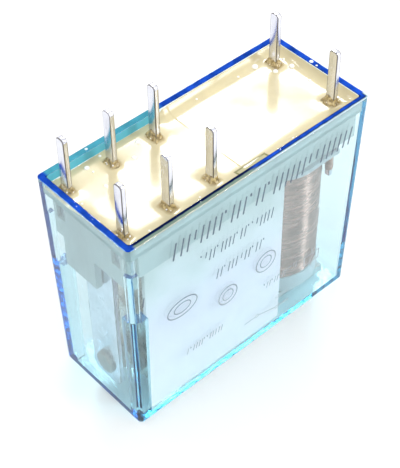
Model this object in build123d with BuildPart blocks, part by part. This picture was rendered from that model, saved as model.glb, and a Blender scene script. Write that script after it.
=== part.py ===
# Plug-in relay: a sealed cover over a coil, an armature, a sliding card and one changeover contact.
#
# Frame, in millimetres: +X runs along the length towards the coil end, +Y across the width and
# +Z out of the pin side. The origin is the centre of the cover's closed face.
from build123d import *

import os
from math import radians, tan

# Cover: a drafted box, open at the pin side, with its cavity measured at the open rim
cavity_length = 27.7
cavity_width = 11.1
cover_height = 25.0
cover_draft = 0.5
cover_wall = 0.65
cover_floor = 0.65
outer_corner_radius = 0.5
inner_corner_radius = 0.3
closed_edge_radius = 0.4
post_size = 0.95
post_height = 14.8
guide_rib_size = 0.35
guide_rib_height = 21.2

# Pins: two rows of four, on the 5 mm grid that relays of this size share
pin_pitch = 5.0
coil_pin_distance = 15.0
pin_grid_offset = -0.5
pin_row_spacing = 7.5
sheet = 0.5
pin_width = 1.0
pin_reach = 5.2
pin_tip_radius = 0.38

# Sealing resin and insulating base
resin_recess = 0.85
resin_depth = 0.75
base_thickness = 3.0
base_gap = 0.25
crossbar_height = 1.6
slot_clearance = 0.05
corner_notch = 0.5
end_skirt_depth = 1.4
end_skirt_gap = 0.1
lug_depth = 4.9
lug_low_y = -0.6
lug_high_y = 3.7
front_key_length = 3.55
front_key_width = 0.7
front_key_x = 0.88

# Coil, core and yoke
pole_height = 2.5
coil_setback = 3.35
winding_radius = 4.45
flange_lip = 0.1
flange_thickness = 0.5
lower_flange_thickness = 1.9
tube_wall = 0.55
core_radius = 1.7
core_clearance = 0.05
pole_radius = 2.8
pole_thickness = 0.5
pole_recess_gap = 0.1
core_rivet_lip = 0.4
core_rivet_height = 0.35
yoke_thickness = 1.1
yoke_to_flange = 0.8
yoke_width = 8.4
yoke_to_base = 0.45
yoke_past_core = 2.6
yoke_gap = 0.05

# Coil pins' lower posts, with the wire wrapped on them
post_width = 0.6
post_drop = 3.4
wrap_radius = 0.45
wrap_length = 2.0
lead_radius = 0.11
lead_drop = 1.2

# Armature: an L of sheet iron that rocks on the lower edge of the yoke
armature_thickness = 0.9
armature_travel = 3.5
armature_hinge_gap = 0.05
palm_past_core = 3.75
armature_palm_width = 7.2
ear_width = 8.4
ear_length = 1.15
heel_width = 6.2
leg_gap = 0.55
leg_width = 5.2
tongue_width = 2.4
tongue_length = 1.8

# Clip that keeps the armature's heel on the yoke
clip_thickness = 0.15
clip_plate_height = 4.0
clip_plate_low = 11.0
clip_arm_width = 0.9
clip_hook_length = 1.3
clip_hook_gap = 0.25
clip_rivet_radius = 0.55
clip_rivet_height = 0.3
clip_rivet_spacing = 4.6

# Card that carries the armature's push to the contact spring
card_height = 8.2
card_depth = 1.6
card_width = 7.0
card_arm_width = 1.0
card_slot_gap = 0.12
card_front_wall = 0.98
card_back_wall = 0.23
card_touch_gap = 0.03

# Contacts
contact_height = 3.9
contact_gap = 0.62
closed_gap = 0.02
fixed_head_radius = 1.6
fixed_head = 0.6
back_head_radius = 1.2
back_head = 0.35
moving_head_radius = 1.5
moving_head = 0.45
contact_shank_radius = 0.6
head_edge_radius = 0.2
blade_width = 4.0
blade_end = 1.6
bend_radius = 1.0
nc_bend_drop = 4.2
nc_slope_length = 5.8

# Contact spring, riveted to the common terminal's tongue
spring_thickness = 0.2
spring_width = 6.0
spring_tip_width = 3.9
spring_tip_height = 6.4
spring_top_gap = 0.4
spring_slope_drop = 1.0
spring_slope_length = 5.2
common_tongue_width = 5.2
common_tongue_drop = 3.2
spring_rivet_radius = 0.42
spring_rivet_head = 0.75
spring_rivet_height = 0.28
spring_rivet_spacing = 2.8
spring_rivet_drop = 1.5
rivet_clearance = 0.08

# Moulded barrier between coil and contacts, with a front plate that closes the contact space
barrier_wall = 0.4
barrier_front_gap = 0.09
barrier_post_gap = 0.1
barrier_past_core = 4.05
barrier_foot = 1.0
barrier_card_gap = 0.15
barrier_cross_reach = 4.3
barrier_window_gap = 0.15


def inner_size(height, gap=0.0):
    """Length and width between the cover's walls at a height, less a gap on every side."""
    less = 2 * cover_draft * (cover_height - height) / cover_height + 2 * gap
    return cavity_length - less, cavity_width - less


def outer_size(height):
    """Length and width over the cover's walls, at a height above the closed face."""
    return inner_size(height, -cover_wall)


# Heights, from the closed face up
resin_top = cover_height - resin_recess
base_top = resin_top - resin_depth
base_bottom = base_top - base_thickness
pin_top = cover_height + pin_reach
pin_lap_bottom = base_bottom + crossbar_height / 2
yoke_top = base_bottom - yoke_to_base
yoke_underside = yoke_top - yoke_thickness
bobbin_top = yoke_underside - yoke_gap
bobbin_bottom = pole_height + pole_recess_gap
winding_bottom = bobbin_bottom + lower_flange_thickness
winding_top = bobbin_top - flange_thickness
post_bottom = bobbin_top - post_drop
skirt_bottom = base_bottom - end_skirt_depth
nc_bend_high = base_bottom - nc_bend_drop
nc_bend_low = nc_bend_high - nc_slope_length
common_tongue_bottom = base_bottom - common_tongue_drop

# Pin places: open contact, common, closed contact and coil
pin_span = 2 * pin_pitch + coil_pin_distance
no_x = pin_grid_offset - pin_span / 2
com_x = no_x + pin_pitch
nc_pin_x = com_x + pin_pitch
coil_pin_x = nc_pin_x + coil_pin_distance
pin_y = pin_row_spacing / 2
crossbar_width = pin_row_spacing + pin_width

# Places along X at the coil end, from the coil pins
coil_x = coil_pin_x - coil_setback
flange_radius = winding_radius + flange_lip
yoke_x = coil_x - flange_radius - yoke_to_flange - yoke_thickness
armature_end_x = coil_x + palm_past_core

# Places along X in the contact stack, from the open contact's blade, one sheet inside its pins
blade_x = no_x + sheet
spring_x = blade_x + sheet / 2 + fixed_head + contact_gap + moving_head + spring_thickness / 2
nc_x = spring_x + spring_thickness / 2 + moving_head + closed_gap + fixed_head + sheet / 2
spring_root_x = com_x + sheet / 2 + spring_thickness / 2

# The base is a straight block, so its size is set where the tapering cover is narrowest
base_length, base_width = inner_size(base_bottom, base_gap)
base_end_x = -base_length / 2
base_front_y = -base_width / 2
end_skirt_thickness = blade_x - sheet / 2 - end_skirt_gap - base_end_x
slot_thickness = sheet + 2 * slot_clearance
slot_width = pin_width + 2 * slot_clearance

# Armature, in its released pose
hinge_height = pole_height - armature_hinge_gap
leg_inner_x = yoke_x - leg_gap
leg_outer_x = leg_inner_x - armature_thickness
leg_top = card_height + card_depth / 2 - slot_clearance
slope = tan(radians(armature_travel))
card_slot_low_x = leg_outer_x - card_slot_gap
card_slot_high_x = leg_inner_x + card_slot_gap
card_reach_x = spring_x + spring_thickness / 2 + card_touch_gap


def palm_top(x):
    """Height of the released armature's upper face, which falls away from the hinge."""
    return hinge_height - slope * (x - yoke_x)


def add_pin_pair(low):
    """Two rounded-tip pins of a terminal, as outlines in the plane across the relay."""
    with Locations((-pin_y, low), (pin_y, low)):
        Rectangle(pin_width, pin_top - low, align=(Align.CENTER, Align.MIN))


def add_round(centre_x, centre_y, centre_z, radius, length):
    """A rivet's round section, standing along X from its own place."""
    with Locations(Location((centre_x, centre_y, centre_z), (0, 90, 0))):
        Cylinder(radius, length, align=(Align.CENTER, Align.CENTER, Align.MIN))


# ---- Cover and seal ----

with BuildPart() as cover:
    for height in (0, cover_height):
        with BuildSketch(Plane.XY.offset(height)):
            RectangleRounded(*outer_size(height), outer_corner_radius)
    loft()
    fillet(cover.faces().sort_by(Axis.Z)[0].edges(), closed_edge_radius)
    for height in (cover_floor, cover_height):
        with BuildSketch(Plane.XY.offset(height)):
            RectangleRounded(*inner_size(height), inner_corner_radius)
    loft(mode=Mode.SUBTRACT)
    # Posts thicken both corners of the contact end, and a narrow rib runs on above each of them
    for size, low, high in (
        (post_size, cover_floor, post_height),
        (guide_rib_size, post_height, guide_rib_height),
    ):
        rib_length, rib_width = inner_size(low)
        with BuildSketch(Plane.XY.offset(low)):
            for side in (-1, 1):
                with Locations((-rib_length / 2, side * rib_width / 2)):
                    Rectangle(2 * size, 2 * size)
            Rectangle(*inner_size(low, -cover_wall / 2), mode=Mode.INTERSECT)
        extrude(amount=high - low)

with BuildPart() as base_header:
    with BuildSketch(Plane.XY.offset(base_bottom)):
        Rectangle(base_length, base_width)
        with Locations((base_end_x, -base_width / 2), (base_end_x, base_width / 2)):
            Rectangle(2 * corner_notch, 2 * corner_notch, mode=Mode.SUBTRACT)
    extrude(amount=base_thickness)
    # Skirt and central lug at the contact end
    skirt_width = base_width - 2 * corner_notch
    with BuildSketch(Plane.XY.offset(skirt_bottom)):
        with Locations((base_end_x + end_skirt_thickness / 2, 0)):
            Rectangle(end_skirt_thickness, skirt_width)
    extrude(amount=end_skirt_depth)
    with BuildSketch(Plane.XY.offset(base_bottom - lug_depth)):
        with Locations((base_end_x + end_skirt_thickness / 2, (lug_low_y + lug_high_y) / 2)):
            Rectangle(end_skirt_thickness, lug_high_y - lug_low_y)
    extrude(amount=lug_depth)
    # Key at the front edge, which shows through the resin
    with BuildSketch(Plane.XY.offset(base_top)):
        with Locations((front_key_x, base_front_y + front_key_width / 2)):
            Rectangle(front_key_length, front_key_width)
    extrude(amount=resin_depth)
    # Pockets for the terminals' crossbars, and a slot for every pin
    with BuildSketch(Plane.XY.offset(base_bottom)):
        with Locations((blade_x, 0), (com_x, 0), (nc_pin_x, 0)):
            Rectangle(slot_thickness, crossbar_width + 2 * slot_clearance)
    extrude(amount=crossbar_height + slot_clearance, mode=Mode.SUBTRACT)
    with BuildSketch(Plane.XY.offset(base_bottom)):
        for x in (com_x, nc_pin_x, coil_pin_x):
            with Locations((x, -pin_y), (x, pin_y)):
                Rectangle(slot_thickness, slot_width)
    extrude(amount=base_thickness, mode=Mode.SUBTRACT)
    # The open contact's pins stand so far out that their slots are open to the base's end
    with BuildSketch(Plane.XY.offset(pin_lap_bottom - slot_clearance)):
        with Locations((base_end_x, -pin_y), (base_end_x, pin_y)):
            Rectangle(blade_x - base_end_x, slot_width, align=(Align.MIN, Align.CENTER))
    extrude(until=Until.LAST, mode=Mode.SUBTRACT)

with BuildPart() as sealing_resin:
    for height in (base_top, resin_top):
        with BuildSketch(Plane.XY.offset(height)):
            RectangleRounded(*inner_size(height), inner_corner_radius)
    loft()
    with BuildSketch(Plane.XY.offset(base_top)):
        for x in (no_x, com_x, nc_pin_x, coil_pin_x):
            with Locations((x, -pin_y), (x, pin_y)):
                Rectangle(sheet, pin_width)
        with Locations((front_key_x, base_front_y + front_key_width / 2)):
            Rectangle(front_key_length, front_key_width)
    extrude(amount=resin_depth, mode=Mode.SUBTRACT)

# ---- Coil, core and yoke ----

with BuildPart() as bobbin:
    for height, thickness in (
        (bobbin_bottom, lower_flange_thickness),
        (winding_top, flange_thickness),
    ):
        with BuildSketch(Plane.XY.offset(height)):
            with Locations((coil_x, 0)):
                Circle(flange_radius)
        extrude(amount=thickness)
    with BuildSketch(Plane.XY.offset(bobbin_bottom)):
        with Locations((coil_x, 0)):
            Circle(core_radius + core_clearance + tube_wall)
    extrude(amount=bobbin_top - bobbin_bottom)
    # The upper flange reaches out to hold the coil pins
    pin_block_end = coil_pin_x + sheet
    with BuildSketch(Plane.XY.offset(winding_top)):
        with Locations(((coil_x + pin_block_end) / 2, 0)):
            Rectangle(pin_block_end - coil_x, pin_row_spacing + 1.5 * pin_width)
    extrude(amount=flange_thickness)
    with BuildSketch(Plane.XY.offset(bobbin_bottom)):
        with Locations((coil_x, 0)):
            Circle(core_radius + core_clearance)
    extrude(amount=bobbin_top - bobbin_bottom, mode=Mode.SUBTRACT)
    with BuildSketch(Plane.XY.offset(bobbin_bottom)):
        with Locations((coil_x, 0)):
            Circle(pole_radius + pole_recess_gap)
    extrude(amount=pole_thickness, mode=Mode.SUBTRACT)
    with BuildSketch(Plane.XY.offset(winding_top)):
        with Locations((coil_pin_x, -pin_y), (coil_pin_x, pin_y)):
            Rectangle(slot_thickness, slot_width)
    extrude(amount=flange_thickness, mode=Mode.SUBTRACT)

with BuildPart() as coil_winding:
    with BuildSketch(Plane.XY.offset(winding_bottom)):
        with Locations((coil_x, 0)):
            Circle(winding_radius)
            Circle(core_radius + core_clearance + tube_wall, mode=Mode.SUBTRACT)
    extrude(amount=winding_top - winding_bottom)
    fillet(coil_winding.edges().filter_by(GeomType.CIRCLE).sort_by(SortBy.RADIUS)[-2:], 0.25)

with BuildPart() as core:
    with BuildSketch(Plane.XY.offset(pole_height)):
        with Locations((coil_x, 0)):
            Circle(pole_radius)
    extrude(amount=pole_thickness)
    with BuildSketch(Plane.XY.offset(pole_height)):
        with Locations((coil_x, 0)):
            Circle(core_radius)
    extrude(amount=yoke_top - pole_height)
    # The upper end is riveted over the yoke
    with BuildSketch(Plane.XY.offset(yoke_top)):
        with Locations((coil_x, 0)):
            Circle(core_radius + core_rivet_lip)
    extrude(amount=core_rivet_height)
    chamfer(core.edges().sort_by(Axis.Z)[-1], 0.2)
    chamfer(core.edges().sort_by(Axis.Z)[0], 0.12)

with BuildPart() as yoke:
    with BuildSketch(Plane.XZ):
        with BuildLine():
            Polyline(
                (yoke_x, pole_height),
                (yoke_x, yoke_top),
                (coil_x + yoke_past_core, yoke_top),
                (coil_x + yoke_past_core, yoke_underside),
                (yoke_x + yoke_thickness, yoke_underside),
                (yoke_x + yoke_thickness, pole_height),
                close=True,
            )
        make_face()
    extrude(amount=yoke_width / 2, both=True)
    outer_bend = yoke.edges().filter_by(Axis.Y).sort_by(lambda e: e.center().X - e.center().Z)[0]
    fillet(outer_bend, 0.8)
    with BuildSketch(Plane.XY.offset(yoke_underside)):
        with Locations((coil_x, 0)):
            Circle(core_radius)
    extrude(amount=yoke_thickness, mode=Mode.SUBTRACT)

for name, side in (("front", -1), ("back", 1)):
    with BuildPart() as coil_pin:
        with BuildSketch(Plane.YZ.offset(coil_pin_x - sheet / 2)) as outline:
            with Locations((side * pin_y, winding_top)):
                Rectangle(pin_width, pin_top - winding_top, align=(Align.CENTER, Align.MIN))
            fillet(outline.vertices().group_by(Axis.Y)[-1], pin_tip_radius)
            with Locations((side * pin_y, post_bottom)):
                Rectangle(post_width, winding_top - post_bottom, align=(Align.CENTER, Align.MIN))
        extrude(amount=sheet)
    coil_pin.part.label = f"coil_pin_{name}"

    # The winding's end comes off the coil and is wrapped on the pin's post
    wrap_bottom = post_bottom + post_width
    lead_height = wrap_bottom + wrap_length - lead_radius
    post_at = Vector(coil_pin_x, side * pin_y, lead_height)
    coil_at = Vector(coil_x, 0, lead_height - lead_drop)
    across = (post_at - Vector(coil_x, 0, lead_height)).normalized()
    leaves_coil = coil_at + across * (winding_radius + lead_radius)
    with BuildPart() as coil_lead:
        with BuildSketch(Plane(leaves_coil, z_dir=post_at - leaves_coil)):
            Circle(lead_radius)
        extrude(amount=(post_at - leaves_coil).length)
        with BuildSketch(Plane.XY.offset(wrap_bottom)):
            with Locations((coil_pin_x, side * pin_y)):
                Circle(wrap_radius)
        extrude(amount=wrap_length)
        with BuildSketch(Plane.XY.offset(post_bottom)):
            with Locations((coil_pin_x, side * pin_y)):
                Rectangle(sheet, post_width)
        extrude(amount=winding_top - post_bottom, mode=Mode.SUBTRACT)
    coil_lead.part.label = f"coil_lead_{name}"

    if side < 0:
        coil_pin_front, coil_lead_front = coil_pin, coil_lead
    else:
        coil_pin_back, coil_lead_back = coil_pin, coil_lead

# ---- Armature, its clip and the card ----

with BuildPart() as armature:
    with BuildSketch(Plane.XZ):
        with BuildLine():
            Polyline(
                (leg_outer_x, leg_top),
                (leg_inner_x, leg_top),
                (leg_inner_x, palm_top(leg_inner_x)),
                (armature_end_x, palm_top(armature_end_x)),
                (armature_end_x, palm_top(armature_end_x) - armature_thickness),
                (leg_outer_x, palm_top(leg_outer_x) - armature_thickness),
                close=True,
            )
        make_face()
    extrude(amount=ear_width / 2, both=True)
    # Seen from above: heel, ears for the clip's hooks, and the palm under the pole
    ear_low_x = yoke_x + ear_length / 4
    with BuildSketch(Plane.XY):
        for low_x, high_x, width in (
            (leg_outer_x, ear_low_x, heel_width),
            (ear_low_x, ear_low_x + ear_length, ear_width),
            (ear_low_x + ear_length, armature_end_x, armature_palm_width),
        ):
            with Locations(((low_x + high_x) / 2, 0)):
                Rectangle(high_x - low_x, width)
    extrude(amount=leg_top, mode=Mode.INTERSECT)
    # Seen from the end: the leg and the tongue that the card holds
    shoulder = leg_top - tongue_length
    with BuildSketch(Plane.YZ.offset(leg_outer_x)):
        for low_z, high_z, width in (
            (0, hinge_height + armature_hinge_gap, ear_width),
            (hinge_height, shoulder, leg_width),
            (shoulder, leg_top, tongue_width),
        ):
            with Locations((0, (low_z + high_z) / 2)):
                Rectangle(width, high_z - low_z)
    extrude(amount=armature_end_x - leg_outer_x, mode=Mode.INTERSECT)

with BuildPart() as armature_clip:
    clip_outer = yoke_width / 2
    hook_top = palm_top(ear_low_x + ear_length) - armature_thickness - clip_hook_gap
    with BuildSketch(Plane.YZ.offset(yoke_x - clip_thickness)):
        with Locations((0, clip_plate_low + clip_plate_height / 2)):
            Rectangle(2 * clip_outer, clip_plate_height)
        for side in (-1, 1):
            with Locations((side * (clip_outer - clip_arm_width / 2), hook_top)):
                Rectangle(clip_arm_width, clip_plate_low - hook_top, align=(Align.CENTER, Align.MIN))
    extrude(amount=clip_thickness)
    with BuildSketch(Plane.XY.offset(hook_top - clip_thickness)):
        for side in (-1, 1):
            with Locations((yoke_x - clip_thickness, side * (clip_outer - clip_arm_width / 2))):
                Rectangle(
                    clip_hook_length + clip_thickness,
                    clip_arm_width,
                    align=(Align.MIN, Align.CENTER),
                )
    extrude(amount=clip_thickness)
    clip_rivet_z = clip_plate_low + clip_plate_height / 2
    for side in (-1, 1):
        with Locations(
            Location((yoke_x, side * clip_rivet_spacing / 2, clip_rivet_z), (0, 90, 0))
        ):
            Cylinder(clip_rivet_radius / 2, 2 * yoke_thickness, mode=Mode.SUBTRACT)

with BuildPart() as clip_rivets:
    for side in (-1, 1):
        rivet_y = side * clip_rivet_spacing / 2
        head_x = yoke_x - clip_thickness - clip_rivet_height
        add_round(head_x, rivet_y, clip_rivet_z, clip_rivet_radius, clip_rivet_height)
        add_round(
            yoke_x - clip_thickness,
            rivet_y,
            clip_rivet_z,
            clip_rivet_radius / 2,
            clip_thickness,
        )
    fillet(clip_rivets.faces().group_by(Axis.X)[0].edges(), 0.12)

with BuildPart() as actuator_card:
    card_low = card_height - card_depth / 2
    card_front_x = card_slot_low_x - card_front_wall
    card_back_x = card_slot_high_x + card_back_wall
    arm_y = card_width / 2 - card_arm_width / 2
    with BuildSketch(Plane.XY.offset(card_low)) as card_outline:
        with Locations(((card_front_x + card_back_x) / 2, 0)):
            Rectangle(card_back_x - card_front_x, card_width)
        with Locations(((card_reach_x + card_front_x) / 2, -arm_y)):
            Rectangle(card_front_x - card_reach_x, card_arm_width)
        with Locations(((card_reach_x + card_front_x) / 2, arm_y)):
            Rectangle(card_front_x - card_reach_x, card_arm_width)
        with Locations(((card_slot_low_x + card_slot_high_x) / 2, 0)):
            Rectangle(
                card_slot_high_x - card_slot_low_x,
                tongue_width + 2 * card_slot_gap,
                mode=Mode.SUBTRACT,
            )
    extrude(amount=card_depth)
    chamfer(actuator_card.edges().filter_by(Axis.Z).group_by(Axis.X)[0], 0.2)

# ---- Contacts ----

with BuildPart() as no_terminal:
    # Crossbar and blade in one flat piece, with the pins lapped on its outer side
    with BuildSketch(Plane.YZ.offset(blade_x - sheet / 2)) as outline:
        with Locations((0, base_bottom)):
            Rectangle(crossbar_width, crossbar_height, align=(Align.CENTER, Align.MIN))
        with Locations((0, blade_end)):
            Rectangle(blade_width, base_bottom - blade_end, align=(Align.CENTER, Align.MIN))
        fillet(outline.vertices().group_by(Axis.Y)[0], blade_width / 4)
    extrude(amount=sheet)
    with BuildSketch(Plane.YZ.offset(no_x - sheet / 2)) as outline:
        add_pin_pair(pin_lap_bottom)
        fillet(outline.vertices().group_by(Axis.Y)[-1], pin_tip_radius)
    extrude(amount=sheet)
    with Locations(Location((blade_x, 0, contact_height), (0, 90, 0))):
        Cylinder(contact_shank_radius, 2 * sheet, mode=Mode.SUBTRACT)

with BuildPart() as no_contact:
    add_round(blade_x + sheet / 2, 0, contact_height, fixed_head_radius, fixed_head)
    fillet(no_contact.faces().group_by(Axis.X)[-1].edges(), head_edge_radius)
    add_round(blade_x - sheet / 2, 0, contact_height, contact_shank_radius, sheet)
    add_round(blade_x - sheet / 2 - back_head, 0, contact_height, back_head_radius, back_head)
    fillet(no_contact.faces().group_by(Axis.X)[0].edges(), head_edge_radius)

with BuildPart() as nc_terminal:
    with BuildSketch(Plane.YZ.offset(nc_pin_x - sheet / 2)) as outline:
        add_pin_pair(base_bottom)
        fillet(outline.vertices().group_by(Axis.Y)[-1], pin_tip_radius)
        with Locations((0, base_bottom)):
            Rectangle(crossbar_width, crossbar_height, align=(Align.CENTER, Align.MIN))
    extrude(amount=sheet)
    with BuildSketch(Plane.XZ):
        with BuildLine():
            FilletPolyline(
                (nc_pin_x, base_bottom),
                (nc_pin_x, nc_bend_high),
                (nc_x, nc_bend_low),
                (nc_x, blade_end),
                radius=bend_radius,
            )
        trace(line_width=sheet)
    extrude(amount=blade_width / 2, both=True)
    with Locations(Location((nc_x, 0, contact_height), (0, 90, 0))):
        Cylinder(contact_shank_radius, 2 * sheet, mode=Mode.SUBTRACT)

with BuildPart() as nc_contact:
    add_round(nc_x - sheet / 2 - fixed_head, 0, contact_height, fixed_head_radius, fixed_head)
    fillet(nc_contact.faces().group_by(Axis.X)[0].edges(), head_edge_radius)
    add_round(nc_x - sheet / 2, 0, contact_height, contact_shank_radius, sheet)
    add_round(nc_x + sheet / 2, 0, contact_height, back_head_radius, back_head)
    fillet(nc_contact.faces().group_by(Axis.X)[-1].edges(), head_edge_radius)

rivet_z = base_bottom - spring_rivet_drop

with BuildPart() as com_terminal:
    with BuildSketch(Plane.YZ.offset(com_x - sheet / 2)) as outline:
        add_pin_pair(base_bottom)
        fillet(outline.vertices().group_by(Axis.Y)[-1], pin_tip_radius)
        with Locations((0, base_bottom)):
            Rectangle(crossbar_width, crossbar_height, align=(Align.CENTER, Align.MIN))
        with Locations((0, common_tongue_bottom)):
            Rectangle(common_tongue_width, common_tongue_drop, align=(Align.CENTER, Align.MIN))
        with Locations((-spring_rivet_spacing / 2, rivet_z), (spring_rivet_spacing / 2, rivet_z)):
            Circle(spring_rivet_radius, mode=Mode.SUBTRACT)
    extrude(amount=sheet)

with BuildPart() as spring_rivets:
    far_head_x = spring_root_x + spring_thickness / 2 + rivet_clearance
    for side in (-1, 1):
        rivet_y = side * spring_rivet_spacing / 2
        near_x = com_x - sheet / 2 - spring_rivet_height
        add_round(near_x, rivet_y, rivet_z, spring_rivet_head, spring_rivet_height)
        add_round(near_x, rivet_y, rivet_z, spring_rivet_radius, far_head_x - near_x)
        add_round(far_head_x, rivet_y, rivet_z, spring_rivet_head, spring_rivet_height)
    fillet(spring_rivets.faces().group_by(Axis.X)[0].edges(), 0.12)
    fillet(spring_rivets.faces().group_by(Axis.X)[-1].edges(), 0.12)

with BuildPart() as contact_spring:
    slope_top = common_tongue_bottom - spring_slope_drop
    with BuildSketch(Plane.XZ):
        with BuildLine():
            FilletPolyline(
                (spring_root_x, base_bottom - spring_top_gap),
                (spring_root_x, slope_top),
                (spring_x, slope_top - spring_slope_length),
                (spring_x, blade_end),
                radius=bend_radius,
            )
        trace(line_width=spring_thickness)
    extrude(amount=spring_width / 2, both=True)
    # Narrower at the tip, and open for the rivets and the contact's shank
    side_cut = (spring_width - spring_tip_width) / 2
    with BuildSketch(Plane.YZ.offset(spring_x - spring_thickness)):
        for side in (-1, 1):
            with Locations((side * (spring_width - side_cut) / 2, blade_end / 2)):
                Rectangle(
                    side_cut,
                    spring_tip_height - blade_end / 2,
                    align=(Align.CENTER, Align.MIN),
                )
    extrude(amount=2 * spring_thickness, mode=Mode.SUBTRACT)
    for side in (-1, 1):
        with Locations(
            Location((spring_root_x, side * spring_rivet_spacing / 2, rivet_z), (0, 90, 0))
        ):
            Cylinder(
                spring_rivet_radius + rivet_clearance,
                4 * spring_thickness,
                mode=Mode.SUBTRACT,
            )
    with Locations(Location((spring_x, 0, contact_height), (0, 90, 0))):
        Cylinder(contact_shank_radius, 4 * spring_thickness, mode=Mode.SUBTRACT)

with BuildPart() as moving_contact:
    low_x = spring_x - spring_thickness / 2 - moving_head
    high_x = spring_x + spring_thickness / 2
    add_round(low_x, 0, contact_height, moving_head_radius, moving_head)
    add_round(high_x, 0, contact_height, moving_head_radius, moving_head)
    fillet(moving_contact.faces().group_by(Axis.X)[0].edges(), head_edge_radius)
    fillet(moving_contact.faces().group_by(Axis.X)[-1].edges(), head_edge_radius)
    add_round(
        spring_x - spring_thickness / 2,
        0,
        contact_height,
        contact_shank_radius,
        spring_thickness,
    )

# ---- Barrier ----

with BuildPart() as contact_barrier:
    barrier_front_y = -inner_size(barrier_foot)[1] / 2 + barrier_front_gap
    # The plate starts clear of the corner post or the base's skirt, whichever reaches further in
    post_inner_x = -inner_size(cover_floor)[0] / 2 + post_size
    skirt_inner_x = base_end_x + end_skirt_thickness
    barrier_left_x = max(post_inner_x, skirt_inner_x) + barrier_post_gap
    barrier_right_x = coil_x - barrier_past_core
    barrier_cross_x = card_front_x - barrier_card_gap - barrier_wall / 2
    with BuildSketch(Plane.XY.offset(barrier_foot)):
        with Locations((barrier_left_x, barrier_front_y)):
            Rectangle(
                barrier_right_x - barrier_left_x, barrier_wall, align=(Align.MIN, Align.MIN)
            )
        with Locations((barrier_cross_x, barrier_front_y)):
            Rectangle(
                barrier_wall,
                barrier_cross_reach - barrier_front_y,
                align=(Align.CENTER, Align.MIN),
            )
    extrude(amount=base_bottom - barrier_foot)
    # Window that guides the card's arms
    with BuildSketch(Plane.YZ.offset(barrier_cross_x - barrier_wall)):
        with Locations((0, card_height)):
            Rectangle(
                card_width + 2 * barrier_window_gap, card_depth + 2 * barrier_window_gap
            )
    extrude(amount=2 * barrier_wall, mode=Mode.SUBTRACT)

pieces = {
    "cover": cover,
    "base_header": base_header,
    "sealing_resin": sealing_resin,
    "bobbin": bobbin,
    "coil_winding": coil_winding,
    "core": core,
    "yoke": yoke,
    "coil_pin_front": coil_pin_front,
    "coil_pin_back": coil_pin_back,
    "coil_lead_front": coil_lead_front,
    "coil_lead_back": coil_lead_back,
    "armature": armature,
    "armature_clip": armature_clip,
    "clip_rivets": clip_rivets,
    "actuator_card": actuator_card,
    "no_terminal": no_terminal,
    "no_contact": no_contact,
    "nc_terminal": nc_terminal,
    "nc_contact": nc_contact,
    "com_terminal": com_terminal,
    "spring_rivets": spring_rivets,
    "contact_spring": contact_spring,
    "moving_contact": moving_contact,
    "contact_barrier": contact_barrier,
}

os.makedirs("parts", exist_ok=True)
for node, piece in pieces.items():
    piece.part.label = node
    export_step(piece.part, f"parts/{node}.step")
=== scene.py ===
"""Looks of a sealed plug-in relay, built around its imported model.

Every length here is in metres, in the model's own frame: +X along the body towards the coil end,
+Y across it and +Z out of the pin side.
"""

import math
import random

import bmesh
import bpy
from mathutils import Matrix, Vector, noise


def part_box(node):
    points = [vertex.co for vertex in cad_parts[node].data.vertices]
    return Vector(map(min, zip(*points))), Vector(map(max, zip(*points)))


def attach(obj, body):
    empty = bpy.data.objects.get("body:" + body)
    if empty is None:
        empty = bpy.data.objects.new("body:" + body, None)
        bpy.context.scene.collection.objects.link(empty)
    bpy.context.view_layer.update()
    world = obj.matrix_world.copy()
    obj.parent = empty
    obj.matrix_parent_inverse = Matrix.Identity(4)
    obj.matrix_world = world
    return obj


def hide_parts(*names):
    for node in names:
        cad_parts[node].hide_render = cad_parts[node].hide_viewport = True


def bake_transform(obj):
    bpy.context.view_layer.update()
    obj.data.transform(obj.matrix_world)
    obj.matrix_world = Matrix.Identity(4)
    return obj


bl_info = {
    "name": "Plug-in Relay",
    "version": (1, 0, 0),
    "blender": (4, 5, 0),
    "location": "3D View > Sidebar > Relay",
    "description": "Builds the finishes, winding, resin and print of a sealed plug-in relay",
    "category": "Object",
}

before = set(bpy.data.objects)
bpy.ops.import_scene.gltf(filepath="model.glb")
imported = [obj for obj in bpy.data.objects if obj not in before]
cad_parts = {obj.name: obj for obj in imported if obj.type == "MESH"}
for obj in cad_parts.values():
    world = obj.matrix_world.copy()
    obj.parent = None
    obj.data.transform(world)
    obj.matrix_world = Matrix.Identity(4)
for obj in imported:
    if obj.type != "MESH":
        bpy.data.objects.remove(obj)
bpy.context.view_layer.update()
MM = 0.001


def span(node):
    """Lowest and highest corner of a node, as two vectors."""
    low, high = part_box(node)
    return Vector(low), Vector(high)


COVER_LOW, COVER_HIGH = span("cover")
RESIN_LOW, RESIN_HIGH = span("sealing_resin")
WALL = 0.65 * MM     # thickness of the cover's wall at its cut edge
DRAFT = 0.5 * MM     # how far the cover narrows on each side, from its rim to its closed face
STRIP = 0.5 * MM     # thickness of the strip that the terminals and pins are stamped from
PIN_ROW_Y = 3.75 * MM
NOISE_LOW, NOISE_HIGH = 0.3, 0.7     # the part of a noise's range that most of it lies in


# ---------------------------------------------------------------- sizes and colours

def colour_setting(name, description, default):
    """A colour in a property group."""
    return bpy.props.FloatVectorProperty(name=name, description=description, default=default,
                                         subtype="COLOR", size=3, min=0, max=1)


class CoverLook(bpy.types.PropertyGroup):
    wall_tint: colour_setting(
        "Wall tint", "Light left after a millimetre of the cover's plastic", (0.775, 0.928, 0.968))
    # The three rim colours are painted light: the glow that comes out of the cut edge, and the resin and the
    # base's key seen through it.
    rim_blue: colour_setting(
        "Rim blue", "Colour of the cover's cut edge, where light comes out endways", (0.010, 0.058, 0.40))
    rim_teal: colour_setting(
        "Rim teal", "Colour of the edge where the resin lies behind it", (0.07, 0.34, 0.45))
    rim_olive: colour_setting(
        "Rim olive", "Colour of the edge where the base's key lies behind it", (0.17, 0.24, 0.20))


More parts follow.
